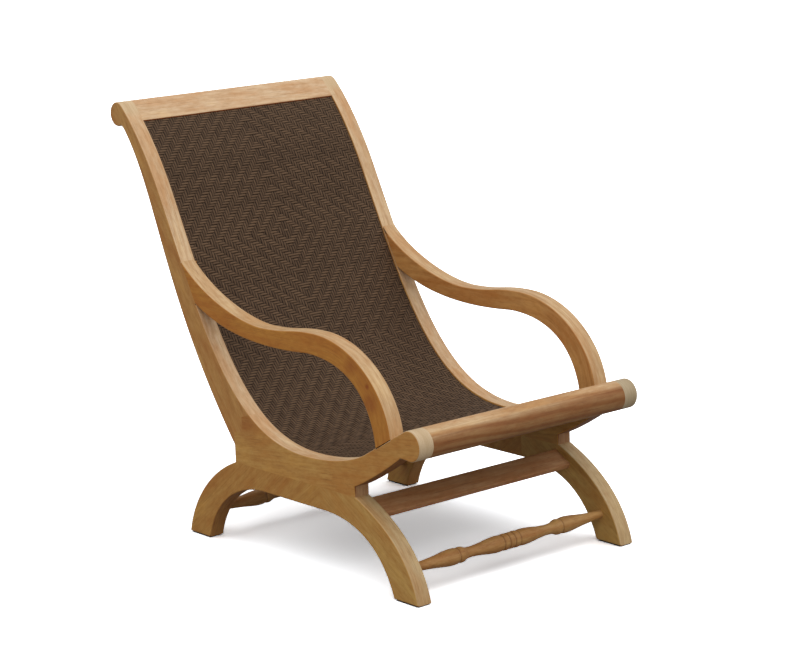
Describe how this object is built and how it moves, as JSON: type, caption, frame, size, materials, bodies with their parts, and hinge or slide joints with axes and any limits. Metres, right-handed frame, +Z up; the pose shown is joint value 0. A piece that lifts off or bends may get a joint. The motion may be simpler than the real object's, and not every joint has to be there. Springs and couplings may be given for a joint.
{
  "type": "plantation lounge chair",
  "caption": "Low wooden plantation lounge chair with scrolled crest and nose rails, S-curved arms, arched legs, turned spindles and a continuous woven seat and back.",
  "frame": {"origin": "bottom centre of the chair's box, on the floor", "axes": "+Z up; the chair faces -Y; X is across the seat and X = 0 is the mirror plane; left and right are as seen from the front, so left is -X"},
  "size_m": [0.65, 1.106, 1.018],
  "materials": {
    "teak": "satin sanded, light golden brown, grain along each piece",
    "woven_resin": "semi-matt dark brown flat synthetic strand, twill woven",
    "batten_wood": "plain sawn, hidden",
    "glide_plastic": "matt near-black"
  },
  "bodies": {
    "root": {"back_stile_left": "teak", "back_stile_right": "teak", "seat_rail_left": "teak", "seat_rail_right": "teak", "rear_leg_left": "teak", "rear_leg_right": "teak", "front_leg_left": "teak", "front_leg_right": "teak", "arm_left": "teak", "arm_right": "teak", "crest_rail": "teak", "nose_roll": "teak", "flat_stretcher": "teak", "front_spindle": "teak", "rear_spindle": "teak", "woven_panel": "woven_resin", "side_batten_left": "batten_wood", "side_batten_right": "batten_wood", "top_batten": "batten_wood", "front_batten": "batten_wood", "glide_front_left": "glide_plastic", "glide_front_right": "glide_plastic", "glide_rear_left": "glide_plastic", "glide_rear_right": "glide_plastic"}
  },
  "joints": []
}
